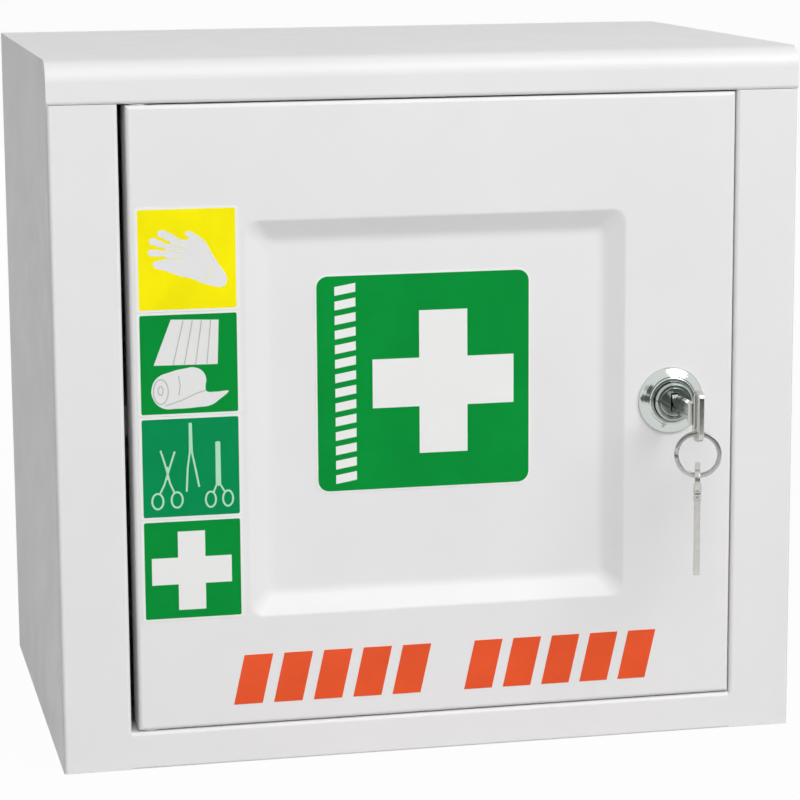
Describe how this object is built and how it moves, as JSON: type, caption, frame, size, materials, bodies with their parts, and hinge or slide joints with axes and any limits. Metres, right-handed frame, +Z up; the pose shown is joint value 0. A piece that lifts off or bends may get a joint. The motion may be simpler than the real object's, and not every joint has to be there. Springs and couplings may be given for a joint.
{
  "type": "first aid cabinet",
  "caption": "Lockable sheet-steel first aid wall cabinet with a flush embossed door, cam lock, hanging keys, inner shelf and green cross labels.",
  "frame": {"origin": "centre of the four wall holes, on the rear face of the cabinet", "axes": "+X to the right seen from the front, +Y from the door to the wall, +Z up"},
  "size_m": [0.3, 0.2463, 0.28],
  "materials": {
    "body_paint": "smooth semi-gloss powder coat",
    "door_paint": "smooth semi-gloss powder coat",
    "shelf_paint": "smooth semi-gloss powder coat",
    "zinc_steel": "bright zinc plate",
    "bush_nylon": "moulded nylon",
    "buffer_rubber": "soft matt",
    "lock_chrome": "polished chrome plate",
    "plug_steel": "polished",
    "key_nickel": "nickel plate",
    "ring_steel": "nickel plate",
    "green_vinyl": "printed self-adhesive vinyl",
    "sea_green_vinyl": "printed self-adhesive vinyl",
    "yellow_vinyl": "printed self-adhesive vinyl",
    "orange_vinyl": "printed self-adhesive vinyl"
  },
  "bodies": {
    "cabinet": {"left_side_panel": "body_paint", "right_side_panel": "body_paint", "top_panel": "body_paint", "bottom_panel": "body_paint", "back_panel": "body_paint", "shelf": "shelf_paint", "shelf_brackets": "body_paint", "upper_frame_hinge_plate": "zinc_steel", "lower_frame_hinge_plate": "zinc_steel", "upper_hinge_pin": "zinc_steel", "lower_hinge_pin": "zinc_steel", "door_buffers": "buffer_rubber"},
    "door": {"door_panel": "door_paint", "upper_door_hinge_plate": "zinc_steel", "lower_door_hinge_plate": "zinc_steel", "upper_hinge_bush": "bush_nylon", "lower_hinge_bush": "bush_nylon", "lock_body": "plug_steel", "lock_rosette": "lock_chrome", "lock_washer": "zinc_steel", "lock_nut": "zinc_steel", "first_aid_label": "green_vinyl", "cross_label": "green_vinyl", "instruments_label": "sea_green_vinyl", "dressings_label": "green_vinyl", "glove_label": "yellow_vinyl", "door_marks": "orange_vinyl"},
    "lock_core": {"lock_plug": "plug_steel", "lock_cam": "zinc_steel", "cam_screw": "zinc_steel"},
    "key": {"key": "key_nickel"},
    "key_ring": {"key_ring": "ring_steel"},
    "spare_key": {"spare_key": "key_nickel"}
  },
  "joints": [
    {"name": "door_hinge", "type": "hinge", "parent": "cabinet", "child": "door", "pos_m": [-0.115, -0.195, 0], "axis": [0, 0, -1], "range_deg": [0, 110]},
    {"name": "lock_turn", "type": "hinge", "parent": "door", "child": "lock_core", "pos_m": [0.0978, -0.2, -0.001], "axis": [0, 1, 0], "range_deg": [0, 90]},
    {"name": "key_slide", "type": "slide", "parent": "lock_core", "child": "key", "axis": [0, -1, 0], "range_m": [0, 0.03]},
    {"name": "ring_swing", "type": "hinge", "parent": "key", "child": "key_ring", "pos_m": [0.0978, -0.2362, -0.00805], "axis": [-0.9483, 0.3173, 0], "range_deg": [-12, 60]},
    {"name": "spare_key_swing", "type": "hinge", "parent": "key_ring", "child": "spare_key", "pos_m": [0.0978, -0.2362, -0.02485], "axis": [-0.9483, 0.3173, 0], "range_deg": [-12, 60]}
  ]
}
